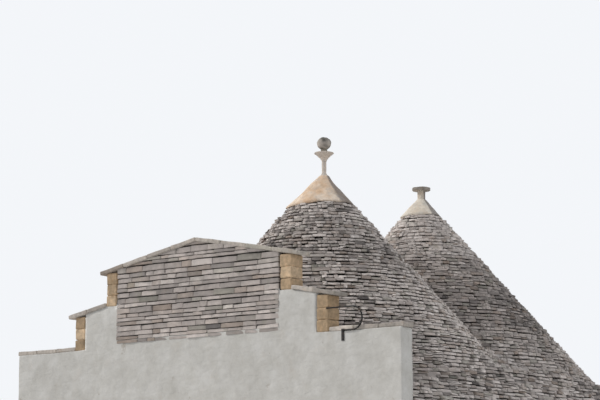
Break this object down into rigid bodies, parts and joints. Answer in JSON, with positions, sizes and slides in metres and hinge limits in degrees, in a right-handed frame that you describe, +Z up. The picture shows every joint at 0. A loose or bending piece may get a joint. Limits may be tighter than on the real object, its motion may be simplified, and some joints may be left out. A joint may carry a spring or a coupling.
{
  "type": "trullo house",
  "caption": "Dry-stone trullo house: cone roofs with plaster caps and pinnacles over corbelled domes, a straight skirt, thick limewashed walls and a coped party wall",
  "frame": {"origin": "on the ground, at the middle of the house's length and depth", "axes": "+X along the street front, to the right seen from the street; +Y from the street to the back; +Z up"},
  "size_m": [10.78, 8.9, 7.5717],
  "materials": {
    "limewash": "limewashed rubble, matt",
    "rubble_stone": "bare limestone, matt",
    "roof_stone": "weathered grey limestone slabs, matt",
    "plaster": "cream and ochre lime plaster, matt",
    "carved_stone": "dressed limestone with lichen, matt",
    "tufa": "soft ochre stone, matt",
    "painted_timber": "green-grey paint, worn",
    "window_glass": "clear",
    "wrought_iron": "black, slightly rusty"
  },
  "bodies": {
    "root": {"front_wall_left": "limewash", "front_wall_right": "limewash", "back_wall": "limewash", "left_party_wall": "limewash", "right_party_wall": "limewash", "middle_wall": "limewash", "front_alcove_vaults": "limewash", "back_alcove_vaults": "limewash", "end_alcove_vaults": "limewash", "front_piers": "rubble_stone", "back_piers": "rubble_stone", "main_inner_dome": "rubble_stone", "second_inner_dome": "rubble_stone", "main_floor": "rubble_stone", "second_floor": "rubble_stone", "front_eaves_slabs": "roof_stone", "back_eaves_slabs": "roof_stone", "front_roof_skirt": "roof_stone", "back_roof_skirt": "roof_stone", "main_cone_roof": "roof_stone", "second_cone_roof": "roof_stone", "main_plaster_cap": "plaster", "second_plaster_cap": "plaster", "main_pinnacle_shaft": "plaster", "main_pinnacle_bowl": "plaster", "second_pinnacle_stub": "plaster", "main_pinnacle_ball": "carved_stone", "second_pinnacle_disc": "carved_stone", "parapet_coping": "carved_stone", "shoulder_copings": "carved_stone", "door_lintel": "carved_stone", "door_threshold": "carved_stone", "window_surrounds": "carved_stone", "window_sills": "carved_stone", "parapet_quoins": "tufa", "door_frame": "painted_timber", "door_leaf": "painted_timber", "window_frames": "painted_timber", "window_glass": "window_glass", "iron_bracket": "wrought_iron"}
  },
  "joints": []
}
